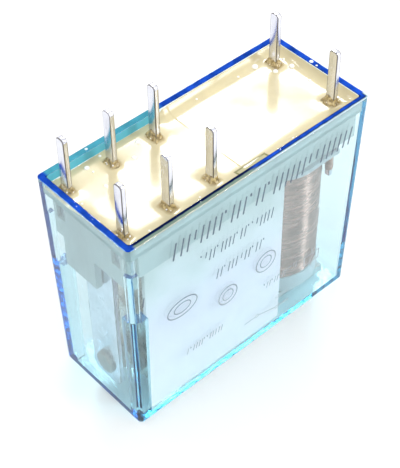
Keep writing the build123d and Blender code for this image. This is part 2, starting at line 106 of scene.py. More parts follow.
class ResinLook(bpy.types.PropertyGroup):
    cream: colour_setting("Cream", "Colour of the resin where it is thick", (0.66, 0.58, 0.35))
    amber: colour_setting("Amber", "Colour where the resin climbs a pin", (0.36, 0.26, 0.10))
    climb: bpy.props.FloatProperty(
        name="Climb", description="How high the resin climbs a pin",
        unit="LENGTH", min=0, default=0.30 * MM)


class CoilLook(bpy.types.PropertyGroup):
    wire_pitch: bpy.props.FloatProperty(
        name="Wire pitch", description="Distance between neighbouring turns",
        unit="LENGTH", min=0.05 * MM, default=0.17 * MM)
    enamel: colour_setting("Enamel", "Colour of the enamelled wire", (0.34, 0.215, 0.180))


class MarkLook(bpy.types.PropertyGroup):
    ink: colour_setting("Ink", "Colour of the marks printed on the cover", (0.10, 0.13, 0.17))
    ink_thickness: bpy.props.FloatProperty(
        name="Ink thickness", description="Thickness of the printed marks",
        unit="LENGTH", min=0, default=0.008 * MM)


class StageLook(bpy.types.PropertyGroup):
    floor: colour_setting("Floor", "Colour of the floor", (0.87, 0.87, 0.86))
    sky: bpy.props.FloatProperty(
        name="Sky", description="Brightness of the light from all round", min=0, default=0.97)
    softbox: bpy.props.FloatProperty(
        name="Softbox", description="Power of the softbox behind the relay, in watts", min=0, default=0.24)


# ---------------------------------------------------------------- shared by the pieces

class Finish:
    """One material, with short calls for the nodes that the finishes share."""

    def __init__(self, name):
        self.material = bpy.data.materials.new(name)
        self.material.use_nodes = True
        self.tree = self.material.node_tree
        self.body = self.tree.nodes["Principled BSDF"]
        self.place = self.tree.nodes.new("ShaderNodeTexCoord").outputs["Object"]

    def set(self, **values):
        """Sets plain values on the shader, by socket name with underscores for spaces."""
        for name, value in values.items():
            self.body.inputs[name.replace("_", " ")].default_value = value
        return self

    def link(self, source, socket):
        self.tree.links.new(source, socket)

    def stretched(self, scale):
        """The place on the piece, scaled along each axis."""
        node = self.tree.nodes.new("ShaderNodeMapping")
        node.inputs["Scale"].default_value = scale
        self.link(self.place, node.inputs["Vector"])
        return node.outputs["Vector"]

    def mottle(self, scale, detail=4.0, rough=0.55, place=None):
        """Soft noise, scale features to the metre."""
        node = self.tree.nodes.new("ShaderNodeTexNoise")
        node.inputs["Scale"].default_value = scale
        node.inputs["Detail"].default_value = detail
        node.inputs["Roughness"].default_value = rough
        self.link(self.place if place is None else place, node.inputs["Vector"])
        return node.outputs["Fac"]

    def varied(self, scale, low, high, detail=4.0):
        """Soft noise as a value from low to high."""
        return self.levels(self.mottle(scale, detail), NOISE_LOW, NOISE_HIGH, low, high)

    def ramp(self, source, stops):
        """Colours by value: stops are (value, colour)."""
        node = self.tree.nodes.new("ShaderNodeValToRGB")
        edge = node.color_ramp.elements
        while len(edge) < len(stops):
            edge.new(0.5)
        for element, (value, colour) in zip(edge, stops):
            element.position = value
            element.color = (*colour, 1.0)
        self.link(source, node.inputs["Fac"])
        return node.outputs["Color"]

    def tones(self, source, dark, light):
        """A noise's range as two colours."""
        return self.ramp(source, [(NOISE_LOW, dark), (NOISE_HIGH, light)])

    def levels(self, source, low, high, out_low=0.0, out_high=1.0):
        """A value remapped from low..high to out_low..out_high."""
        node = self.tree.nodes.new("ShaderNodeMapRange")
        node.inputs["From Min"].default_value = low
        node.inputs["From Max"].default_value = high
        node.inputs["To Min"].default_value = out_low
        node.inputs["To Max"].default_value = out_high
        self.link(source, node.inputs["Value"])
        return node.outputs["Result"]

    def blend(self, share, first, second):
        """Two colours mixed by a share."""
        node = self.tree.nodes.new("ShaderNodeMix")
        node.data_type = "RGBA"
        self.link(share, node.inputs["Factor"])
        for socket, value in ((node.inputs["A"], first), (node.inputs["B"], second)):
            if isinstance(value, tuple):
                socket.default_value = (*value, 1.0)
            else:
                self.link(value, socket)
        return node.outputs["Result"]

    def times(self, first, second, kind="MULTIPLY"):
        """Two values multiplied, or combined in the way that kind names."""
        node = self.tree.nodes.new("ShaderNodeMath")
        node.operation = kind
        for socket, value in zip(node.inputs, (first, second)):
            if isinstance(value, float):
                socket.default_value = value
            else:
                self.link(value, socket)
        return node.outputs["Value"]

    def part(self, axis):
        """One coordinate of the place."""
        node = self.tree.nodes.new("ShaderNodeSeparateXYZ")
        self.link(self.place, node.inputs["Vector"])
        return node.outputs[axis]

    def past(self, socket, middle, reach):
        """How far a coordinate lies past a reach to either side of a middle."""
        off = self.times(self.times(socket, float(middle), "SUBTRACT"), 0.0, "ABSOLUTE")
        return self.times(off, float(reach), "SUBTRACT")

    def colour(self, source):
        self.link(source, self.body.inputs["Base Color"])
        return self

    def roughness(self, source):
        self.link(source, self.body.inputs["Roughness"])
        return self

    def relief(self, source, depth):
        """Raises the surface by the source, depth metres at most."""
        node = self.tree.nodes.new("ShaderNodeBump")
        node.inputs["Strength"].default_value = 1.0
        node.inputs["Distance"].default_value = depth
        self.link(source, node.inputs["Height"])
        self.link(node.outputs["Normal"], self.body.inputs["Normal"])
        return self


def shades(colour, spread):
    """A darker and a lighter shade of a colour."""
    return tuple(c * (1 - spread) for c in colour), tuple(min(1.0, c * (1 + spread)) for c in colour)


def moulded_finish(name, colour, spread, rough):
    """Moulded plastic: faint flow lines, fine grain and a satin surface."""
    f = Finish(name)
    dark, light = shades(colour, spread)
    flow = f.mottle(260.0, 5.0, 0.6, f.stretched((1.0, 1.0, 0.35)))
    f.colour(f.ramp(flow, [(0.32, dark), (0.68, light)]))
    f.roughness(f.varied(1500.0, rough - 0.07, rough + 0.09))
    f.relief(f.mottle(5200.0, 3.0), 0.004 * MM)
    return f.set(IOR=1.5).material


def metal_finish(name, colour, rough, grain=(1.0, 1.0, 0.08), spread=0.08):
    """Rolled or plated metal: fine lines along the grain, and faint clouding."""
    f = Finish(name)
    dark, light = shades(colour, spread)
    lines = f.mottle(14000.0, 3.0, 0.6, f.stretched(grain))
    cloud = f.mottle(650.0, 4.0)
    f.colour(f.blend(f.levels(cloud, 0.35, 0.65), f.tones(lines, dark, light), light))
    f.roughness(f.levels(f.times(lines, cloud, "ADD"), 0.7, 1.3, rough * 0.6, rough * 1.5))
    f.relief(lines, 0.0015 * MM)
    return f.set(Metallic=1.0).material


def dress(node, material):
    """Gives one CAD node its finish in every slot."""
    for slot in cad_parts[node].material_slots:
        slot.material = material


def made_mesh(bm, name, outward=False):
    """The mesh of a finished bmesh, its faces turned outward first where asked."""
    if outward:
        bmesh.ops.recalc_face_normals(bm, faces=bm.faces)
    mesh = bpy.data.meshes.new(name)
    bm.to_mesh(mesh)
    bm.free()
    return mesh


def on_circle(step, count):
    """Cosine and sine of one step of a full turn."""
    turn = 2 * math.pi * step / count
    return math.cos(turn), math.sin(turn)


def add_loops(bm, rings, closed=True):
    """Faces between neighbouring rings of vertices, and from the last ring to the first where closed."""
    faces = []
    for a, b in zip(rings, rings[1:] + (rings[:1] if closed else [])):
        for k in range(len(a)):
            n = (k + 1) % len(a)
            faces.append(bm.faces.new((a[k], a[n], b[n], b[k])))
    return faces


def welded_copy(node):
    """A bmesh of a node's own shape, its doubled vertices joined."""
    bm = bmesh.new()
    bm.from_mesh(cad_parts[node].data)
    bmesh.ops.remove_doubles(bm, verts=bm.verts, dist=1e-6)
    return bm


def split_large_faces(bm):
    """Cuts faces of more than four corners into triangles."""
    bmesh.ops.triangulate(bm, faces=[face for face in bm.faces if len(face.verts) > 4])


def place_piece(name, mesh, body, material, smooth=True):
    """Links a mesh as a piece that rides on a body."""
    piece = bpy.data.objects.new(name, mesh)
    bpy.context.scene.collection.objects.link(piece)
    mesh.materials.append(material)
    if smooth:
        for face in mesh.polygons:
            face.use_smooth = True
    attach(piece, body)
    return piece


SHARP_ANGLE, SHADED_ANGLE = math.radians(35), math.radians(32)


def eased_copy(node, piece_name, body, material, width, edge=None):
    """A node's own shape with its sharp edges eased, in a finish of their own if one is given."""
    bm = welded_copy(node)
    bmesh.ops.dissolve_limit(bm, angle_limit=math.radians(2.0), verts=bm.verts, edges=bm.edges)
    sharp = [e for e in bm.edges if len(e.link_faces) == 2 and e.calc_face_angle() > SHARP_ANGLE]
    bmesh.ops.bevel(bm, geom=sharp, offset=width, segments=2, profile=0.6,
                    affect="EDGES", clamp_overlap=True, material=1 if edge else -1)
    split_large_faces(bm)
    mesh = made_mesh(bm, piece_name)
    piece = place_piece(piece_name, mesh, body, material)
    if edge:
        mesh.materials.append(edge)
    mesh.set_sharp_from_angle(angle=SHADED_ANGLE)
    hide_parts(node)


# ---------------------------------------------------------------- cover

def clear_cover_finish(look):
    """Clear tinted polycarbonate: it bends light, darkens with thickness and lets lamps through."""
    f = Finish("clear_cover")
    nodes = f.tree.nodes
    f.set(Base_Color=(1, 1, 1, 1), Transmission_Weight=1.0, IOR=1.58, Roughness=0.015)
    drawn = f.mottle(1400.0, 2.0, 0.5, f.stretched((1.0, 1.0, 0.05)))
    f.relief(f.times(f.mottle(330.0, 2.0), f.times(drawn, 0.6), "ADD"), 0.012 * MM)
    open_to_lamps = nodes.new("ShaderNodeBsdfTransparent")
    path = nodes.new("ShaderNodeLightPath")
    mix = nodes.new("ShaderNodeMixShader")
    f.link(path.outputs["Is Shadow Ray"], mix.inputs["Fac"])
    f.link(f.body.outputs["BSDF"], mix.inputs[1])
    f.link(open_to_lamps.outputs["BSDF"], mix.inputs[2])
    out = nodes["Material Output"]
    f.link(mix.outputs["Shader"], out.inputs["Surface"])
    taken = [-math.log(c) / MM for c in look.wall_tint]
    thick = nodes.new("ShaderNodeVolumeAbsorption")
    thick.inputs["Density"].default_value = max(taken)
    thick.inputs["Color"].default_value = (*[1 - t / max(taken) for t in taken], 1.0)
    f.link(thick.outputs["Volume"], out.inputs["Volume"])
    return f.material


def ring_points(half_x, half_y, radius, per_corner, per_side):
    """Points round a rounded rectangle, anticlockwise from its corner at +X and -Y."""
    points = []
    corners = ((1, -1, -90), (1, 1, 0), (-1, 1, 90), (-1, -1, 180))
    for index, (sx, sy, start) in enumerate(corners):
        centre = Vector((sx * (half_x - radius), sy * (half_y - radius)))
        turns = [math.radians(start + 90 * k / per_corner) for k in range(per_corner + 1)]
        arc = [centre + radius * Vector((math.cos(turn), math.sin(turn))) for turn in turns]
        points.extend(arc)
        nx, ny, start = corners[(index + 1) % 4]
        turn = math.radians(start)
        follow = Vector((nx * (half_x - radius), ny * (half_y - radius)))
        follow = follow + radius * Vector((math.cos(turn), math.sin(turn)))
        count = per_side[index % 2]
        points.extend(arc[-1].lerp(follow, k / count) for k in range(1, count))
    return points


def rim_edge_finish(look):
    """The cut edge of the cover, painted with the blue light that comes out along the wall, in bands across
    it.

    The bands lie by their share of the wall, from 0 at its inner face to 1 at its outer face.
    """
    f = Finish("cover_edge_painted_light")
    x, y = f.part("X"), f.part("Y")
    past = [f.times(f.times(socket, 0.0, "ABSOLUTE"), float(half - WALL), "SUBTRACT")
            for socket, half in ((x, COVER_HIGH.x), (y, COVER_HIGH.y))]
    waver = f.varied(1300.0, -0.05, 0.05, detail=3.0)
    across = f.times(f.times(f.times(past[0], past[1], "MAXIMUM"), 1 / WALL), waver, "ADD")
    # Painted light: the blue is the glow that leaves the cut edge, and the teal and olive are the resin and
    # the base's key seen through it.
    dark, light = shades(look.rim_blue, 0.45)
    streaks = f.mottle(900.0, 4.0, 0.6)
    blue = f.ramp(streaks, [(0.3, dark), (0.72, light)])
    # Painted shade and highlights: a navy line along the inner face, azure and pale lines along the outer
    # face, and a cream highlight on the olive part.
    navy, azure = (0.002, 0.008, 0.05), (0.30, 0.55, 0.86)
    inner_blue = f.blend(f.levels(across, 0.12, 0.02), blue, navy)
    edged_blue = f.blend(f.levels(across, 0.90, 0.97), inner_blue, azure)
    teal = f.tones(streaks, tuple(0.7 * c for c in look.rim_teal), tuple(look.rim_teal))
    olive = f.ramp(across, [(0.0, navy), (0.36, navy), (0.50, tuple(look.rim_olive)),
                            (0.84, tuple(look.rim_olive)), (0.95, (0.70, 0.70, 0.58))])
    banded = f.blend(f.levels(across, 0.50, 0.60), edged_blue,
                     f.ramp(across, [(0.62, navy), (0.76, (0.32, 0.45, 0.52)), (0.95, (0.62, 0.74, 0.80))]))
    # Which wall a place is on, and where along it the colour changes
    wander = f.times(f.varied(300.0, -0.5 * MM, 0.5 * MM), x, "ADD")
    on_back = f.levels(y, 5.2 * MM, 5.5 * MM)
    on_front = f.levels(y, -5.3 * MM, -5.5 * MM)
    off_end = f.levels(x, -13.8 * MM, -13.5 * MM)
    back_teal = f.times(f.times(on_back, off_end), f.levels(wander, -0.6 * MM, -1.4 * MM))
    front = f.blend(f.levels(wander, 0.6 * MM, -0.4 * MM), banded, olive)
    f.colour(f.blend(f.times(on_front, off_end), f.blend(back_teal, edged_blue, teal), front))
    f.roughness(f.varied(2500.0, 0.38, 0.55))
    f.relief(f.mottle(3000.0, 3.0), 0.006 * MM)
    return f.set(IOR=1.58, Specular_IOR_Level=0.0).material


def build_rim_edge(look):
    """Painted edge light: a thin skin over the cut edge of the cover, painted with its glow, and one inside
    the back wall painted with the glow that runs down it.
    """
    skin, outer_radius, inner_radius = 0.012 * MM, 0.49 * MM, 0.28 * MM
    per_corner, per_side = 8, (70, 160)
    outer = ring_points(COVER_HIGH.x - skin, COVER_HIGH.y - skin, outer_radius, per_corner, per_side)
    inset = WALL - skin
    inner = ring_points(COVER_HIGH.x - inset, COVER_HIGH.y - inset, inner_radius, per_corner, per_side)
    low, high = COVER_HIGH.z + 0.002 * MM, COVER_HIGH.z + skin
    bm = bmesh.new()
    rings = []
    for points, z, wobble in ((outer, low, 0.0), (outer, high, 0.0), (inner, high, 1.0), (inner, low, 1.0)):
        ring = []
        for at in points:
            bite = wobble * 0.03 * MM * noise.noise(Vector((at.x, at.y, 0)) * 700)
            out = at.normalized() * bite
            ring.append(bm.verts.new((at.x + out.x, at.y + out.y, z)))
        rings.append(ring)
    add_loops(bm, rings)
    # A strip inside the back wall is painted with the glow that runs down to the resin, which lies low beside
    # the first three pins
    back = COVER_HIGH.y - WALL - skin
    count, length, lean = 60, 12.2 * MM, 0.7 * MM
    rings = []
    for k in range(count + 1):
        x = -COVER_HIGH.x + WALL + 0.03 * MM + length * k / count
        slant = lean * k / count
        foot = RESIN_HIGH.z - 0.05 * MM + 0.03 * MM * noise.noise(Vector((x, 0, 0)) * 900)
        corners = ((back, foot), (back, low), (back - skin / 2, low), (back - skin / 2, foot))
        rings.append([bm.verts.new((x + slant * (z == low), y, z)) for y, z in corners])
    for strip in add_loops(bm, rings, closed=False):
        strip.material_index = 1
    bm.faces.new(rings[0])
    bm.faces.new(list(reversed(rings[-1])))
    mesh = made_mesh(bm, "cover_edge_painted_light", outward=True)
    place_piece("cover_edge_painted_light", mesh, "housing", rim_edge_finish(look), smooth=False)
    # The strip's bright teal is a painted glow.
    glow = tuple(min(1.0, 1.5 * c) for c in look.rim_teal)
    mesh.materials.append(moulded_finish("painted_wall_glow", glow, 0.12, 0.5))


# ---------------------------------------------------------------- resin

PIN_NODES = ("no_terminal", "com_terminal", "nc_terminal", "coil_pin_front", "coil_pin_back")


def pin_places():
    """Centre and half size of each pin where it leaves the resin."""
    places = []
    for node in PIN_NODES:
        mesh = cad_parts[node].data
        top = max(v.co.z for v in mesh.vertices)
        for side in (-1, 1):
            tips = [v.co for v in mesh.vertices if v.co.z > top - 1.5 * MM and v.co.y * side > 0]
            if not tips:
                continue
            xs, ys = [c.x for c in tips], [c.y for c in tips]
            places.append((Vector(((min(xs) + max(xs)) / 2, (min(ys) + max(ys)) / 2)),
                           Vector(((max(xs) - min(xs)) / 2, (max(ys) - min(ys)) / 2))))
    return places


def outside_of(at, centre, half):
    """Distance from a point to a rectangle."""
    dx = max(abs(at.x - centre.x) - half.x, 0.0)
    dy = max(abs(at.y - centre.y) - half.y, 0.0)
    return math.hypot(dx, dy)


KEY_HALF = Vector((1.775, 0.35)) * MM
KEY_CENTRE = Vector((0.88 * MM, span("base_header")[0].y + KEY_HALF.y))


def in_key(x, y):
    """Whether a place lies over the base's front key."""
    return outside_of(Vector((x, y)), KEY_CENTRE, KEY_HALF) < 0.12 * MM


def resin_height(x, y, look, pins):
    """Height of the resin: a flat pour that climbs the walls and pins and wavers a little."""
    half_x, half_y = RESIN_HIGH.x, RESIN_HIGH.y
    sink, swell, ripple, tilt = 0.05 * MM, 0.07 * MM, 0.006 * MM, 0.05 * MM
    to_wall = max(min(half_x - abs(x), half_y - abs(y)), 0.0)
    z = RESIN_HIGH.z - sink
    z += swell * noise.noise(Vector((x, y, 0.0)) * 130)
    z += ripple * noise.noise(Vector((x, y, 0.004)) * 520)
    z += tilt * (x / half_x) - tilt * (y / half_y) * (x < 0)
    # The climb at the walls: low beside the first three pins, highest at the far corner
    beside_pins = min(max((-x - 0.6 * MM) / (1.0 * MM), 0.0), 1.0) * min(max(y / (2.0 * MM), 0.0), 1.0)
    far = min(max((x + y + 4.0 * MM) / (4.0 * MM), 0.0), 1.0)
    rise = (0.42 + 0.36 * far) * (1.0 - beside_pins) + 0.05
    wall_reach, pin_reach = 0.42 * MM, 0.36 * MM
    z += rise * MM * math.exp(-to_wall / wall_reach)
    if in_key(x, y):
        z = max(z, RESIN_HIGH.z + 0.015 * MM)
    climb = 0.0
    for centre, half in pins:
        gap = outside_of(Vector((x, y)), centre, half)
        climb = max(climb, look.climb * math.exp(-gap / pin_reach))
    z += climb
    return min(z, COVER_HIGH.z - 0.02 * MM) if to_wall < 0.5 * MM else z


def resin_finish(look, pins):
    """Cast resin: cream, amber where it climbs, with a wet gloss."""
    f = Finish("cast_resin")
    near = None
    place = f.part("X"), f.part("Y")
    for centre, half in pins:
        steps = [f.times(f.past(*along), 0.0, "MAXIMUM") for along in zip(place, centre, half)]
        gap = f.times(f.times(f.times(steps[0], steps[0]), f.times(steps[1], steps[1]), "ADD"), 0.5, "POWER")
        near = gap if near is None else f.times(near, gap, "MINIMUM")
    pale = tuple(min(1.0, 1.06 * c) for c in look.cream)
    cream = f.tones(f.mottle(420.0, 5.0), tuple(0.9 * c for c in look.cream), pale)
    waver = f.times(f.varied(1400.0, -0.12 * MM, 0.12 * MM), near, "ADD")
    off_key = [f.past(*along) for along in zip(place, KEY_CENTRE, KEY_HALF)]
    key_gap = f.times(off_key[0], off_key[1], "MAXIMUM")
    key_line = f.levels(f.times(key_gap, 0.0, "ABSOLUTE"), 0.14 * MM, 0.06 * MM)
    over_key = f.blend(f.levels(key_gap, 0.02 * MM, -0.02 * MM), cream, (0.50, 0.46, 0.24))
    lined = f.blend(key_line, over_key, (0.20, 0.19, 0.05))
    f.colour(f.blend(f.levels(waver, 0.50 * MM, 0.15 * MM), lined, tuple(look.amber)))
    f.roughness(f.varied(1900.0, 0.13, 0.21))
    f.relief(f.mottle(900.0, 3.0), 0.0015 * MM)
    f.set(IOR=1.55, Coat_Weight=0.4, Coat_Roughness=0.14, Subsurface_Weight=0.12,
          Subsurface_Scale=0.4 * MM, Subsurface_Radius=(1.0, 0.8, 0.4))
    return f.material


def build_resin(look):
    """The poured resin as one closed piece with a real surface."""
    pins = pin_places()
    clear, step = 0.006 * MM, 0.1 * MM
    half_x, half_y = RESIN_HIGH.x - clear, RESIN_HIGH.y - clear
    nx, ny = round(2 * half_x / step), round(2 * half_y / step)
    bm = bmesh.new()
    top = []
    for j in range(ny + 1):
        for i in range(nx + 1):
            x, y = -half_x + 2 * half_x * i / nx, -half_y + 2 * half_y * j / ny
            top.append(bm.verts.new((x, y, resin_height(x, y, look, pins))))
    for j in range(ny):
        for i in range(nx):
            a = j * (nx + 1) + i
            bm.faces.new((top[a], top[a + 1], top[a + nx + 2], top[a + nx + 1]))
    row = nx + 1
    border = ([i for i in range(row)] + [j * row + nx for j in range(1, ny + 1)]
              + [ny * row + i for i in range(nx - 1, -1, -1)] + [j * row for j in range(ny - 1, 0, -1)])
    floor = RESIN_LOW.z + 0.01 * MM
    under = [bm.verts.new((top[k].co.x, top[k].co.y, floor)) for k in border]
    for k in range(len(border)):
        n = (k + 1) % len(border)
        side = bm.faces.new((top[border[k]], under[k], under[n], top[border[n]]))
        side.material_index = 1
    bm.faces.new(list(reversed(under)))
    mesh = made_mesh(bm, "cast_resin", outward=True)
    piece = place_piece("cast_resin", mesh, "housing", resin_finish(look, pins))
    mesh.materials.append(moulded_finish("resin_side", (0.46, 0.54, 0.53), 0.10, 0.4))
    mesh.set_sharp_from_angle(angle=math.radians(60))
    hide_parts("sealing_resin")
    return pins


# Bubbles in the resin, and nicks in the cover's cut edge that carry a painted glint: X, Y and radius in
# millimetres
BUBBLES = ((10.4, 4.70, 0.34), (11.4, 2.93, 0.27), (13.0, 2.36, 0.30), (12.8, -0.25, 0.18), (13.1, 3.6, 0.16),
           (-4.5, 4.30, 0.30), (-10.0, 4.80, 0.27), (-8.2, 5.20, 0.16), (-9.9, 4.05, 0.12), (3.1, 4.9, 0.13),
           (12.9, -3.9, 0.15), (-13.1, 1.6, 0.13), (5.9, -4.9, 0.12), (-5.2, -4.7, 0.11), (8.2, 4.7, 0.14),
           (-11.0, -4.8, 0.13), (-10.2, 1.9, 0.22), (-6.1, 3.0, 0.24))
GLINTING_NICKS = ((-14.12, -1.2, 0.055), (-14.02, -0.8, 0.045), (-14.15, 0.9, 0.055), (-13.95, 1.4, 0.04),
         (3.4, -5.75, 0.06), (-6.1, -5.8, 0.05), (14.15, 0.96, 0.22), (14.1, 0.2, 0.12), (-9.1, 5.9, 0.16))


def droplet_finish(name, low, high):
    """A clear wet drop, very smooth so that it catches the lamps, its pale colour a painted highlight."""
    f = Finish(name)
    f.colour(f.tones(f.mottle(2600.0), low, high))
    f.roughness(f.varied(4000.0, 0.02, 0.08))
    return f.set(IOR=1.55, Coat_Weight=1.0, Coat_Roughness=0.01).material


def add_drop(bm, at, radius, flat):
    """A flattened ball at a place."""
    for v in bmesh.ops.create_uvsphere(bm, u_segments=16, v_segments=10, radius=radius)["verts"]:
        v.co = Vector((v.co.x, v.co.y, v.co.z * flat)) + at


def build_bubbles(look, pins):
    """Small bubbles on the resin, drops round the pins and nicks in the cover's cut edge, pale with painted
    highlights and glints.
    """
    rng = random.Random(5)
    dip, drops = 0.02 * MM, 5
    bm = bmesh.new()
    for x, y, r in BUBBLES:
        z = resin_height(x * MM, y * MM, look, pins)
        add_drop(bm, Vector((x * MM, y * MM, z - dip)), r * MM, 0.7)
    for centre, half in pins:
        for _ in range(drops):
            turn = rng.uniform(math.pi * 0.9, math.pi * 2.1)
            x = centre.x + (half.x + 0.26 * MM) * math.cos(turn)
            y = centre.y + (half.y + 0.22 * MM) * math.sin(turn)
            z = resin_height(x, y, look, pins)
            add_drop(bm, Vector((x, y, z + rng.uniform(0.0, 0.15) * MM)), rng.uniform(0.05, 0.095) * MM, 0.8)
    # Near white: a painted highlight on each bubble and drop.
    place_piece("resin_bubbles", made_mesh(bm, "resin_bubbles"), "housing",
                droplet_finish("bubble_skin", (0.90, 0.88, 0.80), (0.99, 0.98, 0.94)))
    bm = bmesh.new()
    for x, y, r in GLINTING_NICKS:
        add_drop(bm, Vector((x * MM, y * MM, COVER_HIGH.z)), r * MM, 0.4)
    # Pale blue-white: a painted glint on each nick.
    place_piece("edge_nicks_painted_glint", made_mesh(bm, "edge_nicks_painted_glint"), "housing",
                droplet_finish("nick_glint", (0.62, 0.76, 0.92), (0.90, 0.95, 0.99)))


def collar_finish(look):
    """Resin drawn up round a pin: olive brown to gold, lumpy and wet."""
    f = Finish("amber_collar")
    dark, mid = tuple(0.45 * c for c in look.amber), tuple(look.amber)
    f.colour(f.ramp(f.mottle(3400.0, 4.0), [(0.34, dark), (0.5, mid), (0.66, (0.66, 0.52, 0.24))]))
    f.roughness(f.varied(4000.0, 0.03, 0.16))
    f.relief(f.mottle(5200.0, 3.0), 0.03 * MM)
    return f.set(IOR=1.55, Coat_Weight=0.8, Coat_Roughness=0.02).material


def build_collars(look, pins):
    """Lumpy collars of resin round the pins."""
    rng = random.Random(3)
    around, levels = 36, 7
    bm = bmesh.new()
    for centre, half in pins:
        height, shift = rng.uniform(0.62, 0.85) * MM, rng.uniform(0, 50)
        foot = resin_height(centre.x + half.x + 0.3 * MM, centre.y, look, pins) - 0.12 * MM
        rings = []
        for level in range(levels + 1):
            t = level / levels
            ring = []
            for k in range(around):
                cos, sin = on_circle(k, around)
                lump = noise.noise(Vector((cos * 1.6, sin * 1.6, 2.2 * t + shift)))
                out = (0.34 * (1 - t) ** 1.5 + 0.03) * (1 + 0.7 * lump) * MM
                x = centre.x + (half.x + out) * squared(cos)
                y = centre.y + (half.y + out) * squared(sin)
                ring.append(bm.verts.new((x, y, foot + height * t * (1 + 0.35 * lump))))
            rings.append(ring)
        inside = []
        for z in (foot + height, foot):
            circle = [on_circle(k, around) for k in range(around)]
            inside.append([bm.verts.new((centre.x + 0.8 * half.x * squared(cos),
                                         centre.y + 0.8 * half.y * squared(sin), z)) for cos, sin in circle])
        add_loops(bm, rings + inside)
    mesh = made_mesh(bm, "pin_collars", outward=True)
    place_piece("pin_collars", mesh, "housing", collar_finish(look))


def squared(value):
    """A sine or cosine pushed towards a square outline."""
    return math.copysign(abs(value) ** 0.5, value)


# ---------------------------------------------------------------- coil

def winding_finish(look):
    """Enamelled copper wire: each turn a little lighter or darker, with a satin lacquer."""
    f = Finish("enamelled_wire")
    dark, light = shades(look.enamel, 0.30)
    turns = f.mottle(2600.0, 3.0, 0.6, f.stretched((0.15, 0.15, 1.0)))
    f.colour(f.tones(turns, dark, light))
    f.roughness(f.levels(turns, NOISE_LOW, NOISE_HIGH, 0.18, 0.32))
    f.relief(f.mottle(9000.0, 2.0, 0.5, f.stretched((0.2, 0.2, 1.0))), 0.004 * MM)
    return f.set(Metallic=0.85, Coat_Weight=0.25, Coat_Roughness=0.12).material


def build_winding(look):
    """The winding's outer layer as real turns of wire."""
    low, high = span("coil_winding")
    axis_x, axis_y = (low.x + high.x) / 2, (low.y + high.y) / 2
    radius = (high.x - low.x) / 2
    pitch = look.wire_pitch
    turns = int((high.z - low.z) / pitch)
    wave, around = 8, 80
    rows = turns * wave
    sunk, groove_depth, uneven = 0.03 * MM, 0.08 * MM, 0.018 * MM
    bm = bmesh.new()
    grid = []
    for row in range(rows + 1):
        ring = []
        z = low.z + (high.z - low.z) * row / rows
        for k in range(around):
            cos, sin = on_circle(k, around)
            phase = row / wave - k / around
            groove = math.sqrt(max(0.0, 1.0 - (2.0 * (phase % 1.0) - 1.0) ** 2))
            swell = uneven * noise.noise(Vector((cos, sin, z * 900)) * 0.9)
            r = radius - sunk - groove_depth * (1 - groove) + swell
            ring.append(bm.verts.new((axis_x + r * cos, axis_y + r * sin, z)))
        grid.append(ring)
    add_loops(bm, grid, closed=False)
    inner = radius - 0.6 * MM
    circle = [on_circle(k, around) for k in range(around)]
    caps = []
    for ring, z in ((grid[0], low.z), (grid[-1], high.z)):
        hole = [bm.verts.new((axis_x + inner * cos, axis_y + inner * sin, z)) for cos, sin in circle]
        add_loops(bm, [ring, hole], closed=False)
        caps.append(hole)
    add_loops(bm, caps, closed=False)
    mesh = made_mesh(bm, "wire_turns", outward=True)
    piece = place_piece("wire_turns", mesh, "housing", winding_finish(look))
    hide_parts("coil_winding")


def add_wire(bm, path, radius, sides=8):
    """A round wire along a path, closed at both ends."""
    circle = [on_circle(k, sides) for k in range(sides)]
    rings = []
    for k, at in enumerate(path):
        ahead = (path[min(k + 1, len(path) - 1)] - path[max(k - 1, 0)]).normalized()
        first = ahead.cross(Vector((0, 0, 1)) if abs(ahead.z) < 0.9 else Vector((1, 0, 0))).normalized()
        second = ahead.cross(first)
        rings.append([bm.verts.new(at + radius * (first * cos + second * sin)) for cos, sin in circle])
    add_loops(bm, rings, closed=False)
    bm.faces.new(rings[0])
    bm.faces.new(list(reversed(rings[-1])))


def build_lead(node):
    """A winding's end, wrapped in real turns on its coil pin's post."""
    low, high = span(node)
    side = 1 if high.y > -low.y else -1
    wind_low, wind_high = span("coil_winding")
    coil = Vector(((wind_low.x + wind_high.x) / 2, 0.0))
    post_x, post_y = span(node.replace("lead", "pin"))[0].x + STRIP / 2, side * PIN_ROW_Y
    wire, wrap, per_turn = 0.10 * MM, 0.34 * MM, 14
    pitch = 2.05 * wire
    turns = int((high.z - low.z - 3 * wire) / pitch)
    path = []
    for k in range(turns * per_turn + 1):
        cos, sin = on_circle(k, per_turn)
        z = low.z + 1.5 * wire + k / per_turn * pitch
        path.append(Vector((post_x + wrap * cos, post_y + wrap * sin, z)))
    towards = (Vector((post_x, post_y)) - coil).normalized()
    leave = coil + towards * (wind_high.x - coil.x - 0.05 * MM)
    path += [path[-1].lerp(Vector((leave.x, leave.y, path[-1].z - 0.4 * MM)), t) for t in (0.35, 0.7, 1.0)]
    bm = bmesh.new()
    add_wire(bm, path, wire)
    mesh = made_mesh(bm, f"{node}_wire", outward=True)
    piece = place_piece(f"{node}_wire", mesh, "housing", lead_finish())
    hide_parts(node)


def lead_finish():
    """Red-brown enamel on the winding's ends."""
    f = Finish("lead_enamel")
    f.colour(f.tones(f.mottle(3000.0), (0.26, 0.13, 0.09), (0.44, 0.24, 0.17)))
    f.roughness(f.varied(5000.0, 0.2, 0.4))
    f.relief(f.mottle(9000.0), 0.003 * MM)
    return f.set(Metallic=0.4, Coat_Weight=0.4, Coat_Roughness=0.15).material


def barrier_finish():
    """White moulding with painted shade that greys it towards the base, with faint flow lines."""
    f = Finish("barrier_moulding")
    height = f.times(f.part("Z"), f.varied(240.0, -1.6 * MM, 1.6 * MM), "ADD")
    # Painted shade: white low down, greying towards the base.
    f.colour(f.ramp(f.levels(height, 3.0 * MM, 20.0 * MM),
                    [(0.0, (1.0, 0.90, 0.93)), (0.5, (0.88, 0.77, 0.86)), (0.75, (0.80, 0.76, 0.78)),
                     (1.0, (0.62, 0.64, 0.62))]))
    f.roughness(f.varied(1500.0, 0.4, 0.5))
    f.relief(f.mottle(5200.0, 3.0), 0.004 * MM)
    return f.set(IOR=1.5).material


